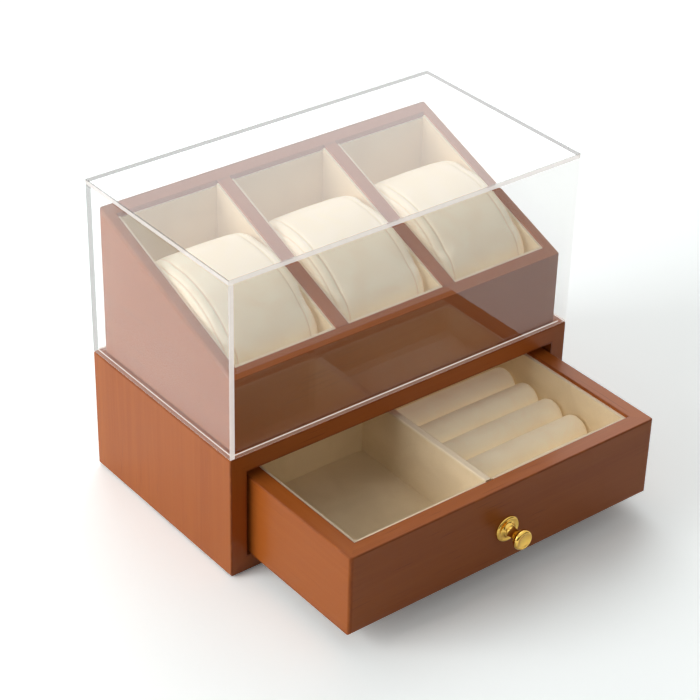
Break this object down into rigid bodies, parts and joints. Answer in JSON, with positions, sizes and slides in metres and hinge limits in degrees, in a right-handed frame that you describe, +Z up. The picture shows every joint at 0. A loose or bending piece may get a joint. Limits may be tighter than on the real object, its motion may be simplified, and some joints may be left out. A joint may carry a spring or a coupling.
{
  "type": "watch box with drawer",
  "caption": "Wooden watch box: sloped, velvet-lined compartments with pillows under a lift-off clear cover, above a sliding drawer with ring rolls.",
  "frame": {"origin": "centre of the case's underside, on the surface it stands on", "axes": "+Z up, the drawer opens towards -Y, +X to the right as seen from the front"},
  "size_m": [0.22, 0.2162, 0.1721],
  "materials": {
    "lacquered_wood": "reddish brown stain under a satin lacquer, faint grain",
    "panel_board": "stained thin board",
    "velvet": "short cream velvet",
    "pillow_fabric": "cream velveteen, sewn end panels",
    "clear_acrylic": "clear acrylic sheet with polished edges",
    "polished_brass": "polished",
    "screw_steel": "zinc plated",
    "base_felt": "dark brown felt"
  },
  "bodies": {
    "case": {"case_left_side": "lacquered_wood", "case_right_side": "lacquered_wood", "case_deck": "lacquered_wood", "case_bottom": "lacquered_wood", "case_back": "lacquered_wood", "tray_left_side": "lacquered_wood", "tray_right_side": "lacquered_wood", "tray_front": "lacquered_wood", "tray_back": "lacquered_wood", "tray_divider_left": "lacquered_wood", "tray_divider_right": "lacquered_wood", "tray_floor_left": "panel_board", "tray_floor_centre": "panel_board", "tray_floor_right": "panel_board", "watch_lining_left": "velvet", "watch_floor_lining_left": "velvet", "watch_lining_centre": "velvet", "watch_floor_lining_centre": "velvet", "watch_lining_right": "velvet", "watch_floor_lining_right": "velvet", "tray_screws": "screw_steel", "base_felt": "base_felt"},
    "cover": {"cover_top": "clear_acrylic", "cover_front": "clear_acrylic", "cover_back": "clear_acrylic", "cover_left": "clear_acrylic", "cover_right": "clear_acrylic"},
    "drawer": {"drawer_front": "lacquered_wood", "drawer_left_side": "lacquered_wood", "drawer_right_side": "lacquered_wood", "drawer_back": "lacquered_wood", "drawer_bottom": "panel_board", "drawer_lining_left": "velvet", "drawer_floor_lining_left": "velvet", "drawer_lining_right": "velvet", "drawer_floor_lining_right": "velvet", "drawer_divider": "velvet", "ring_roll_1": "velvet", "ring_roll_2": "velvet", "ring_roll_3": "velvet", "ring_roll_4": "velvet", "ring_roll_5": "velvet", "knob_rosette": "polished_brass", "knob": "polished_brass", "knob_screw": "screw_steel"},
    "left_pillow": {"pillow_left": "pillow_fabric"},
    "centre_pillow": {"pillow_centre": "pillow_fabric"},
    "right_pillow": {"pillow_right": "pillow_fabric"}
  },
  "joints": [
    {"name": "drawer_slide", "type": "slide", "parent": "case", "child": "drawer", "axis": [0, -1, 0], "range_m": [-0.08, 0.015]},
    {"name": "cover_lift", "type": "slide", "parent": "case", "child": "cover", "axis": [0, 0, 1], "range_m": [0, 0.1]},
    {"name": "left_pillow_lift", "type": "slide", "parent": "case", "child": "left_pillow", "axis": [0, 0, 1], "range_m": [0, 0.022]},
    {"name": "centre_pillow_lift", "type": "slide", "parent": "case", "child": "centre_pillow", "axis": [0, 0, 1], "range_m": [0, 0.022]},
    {"name": "right_pillow_lift", "type": "slide", "parent": "case", "child": "right_pillow", "axis": [0, 0, 1], "range_m": [0, 0.022]}
  ]
}
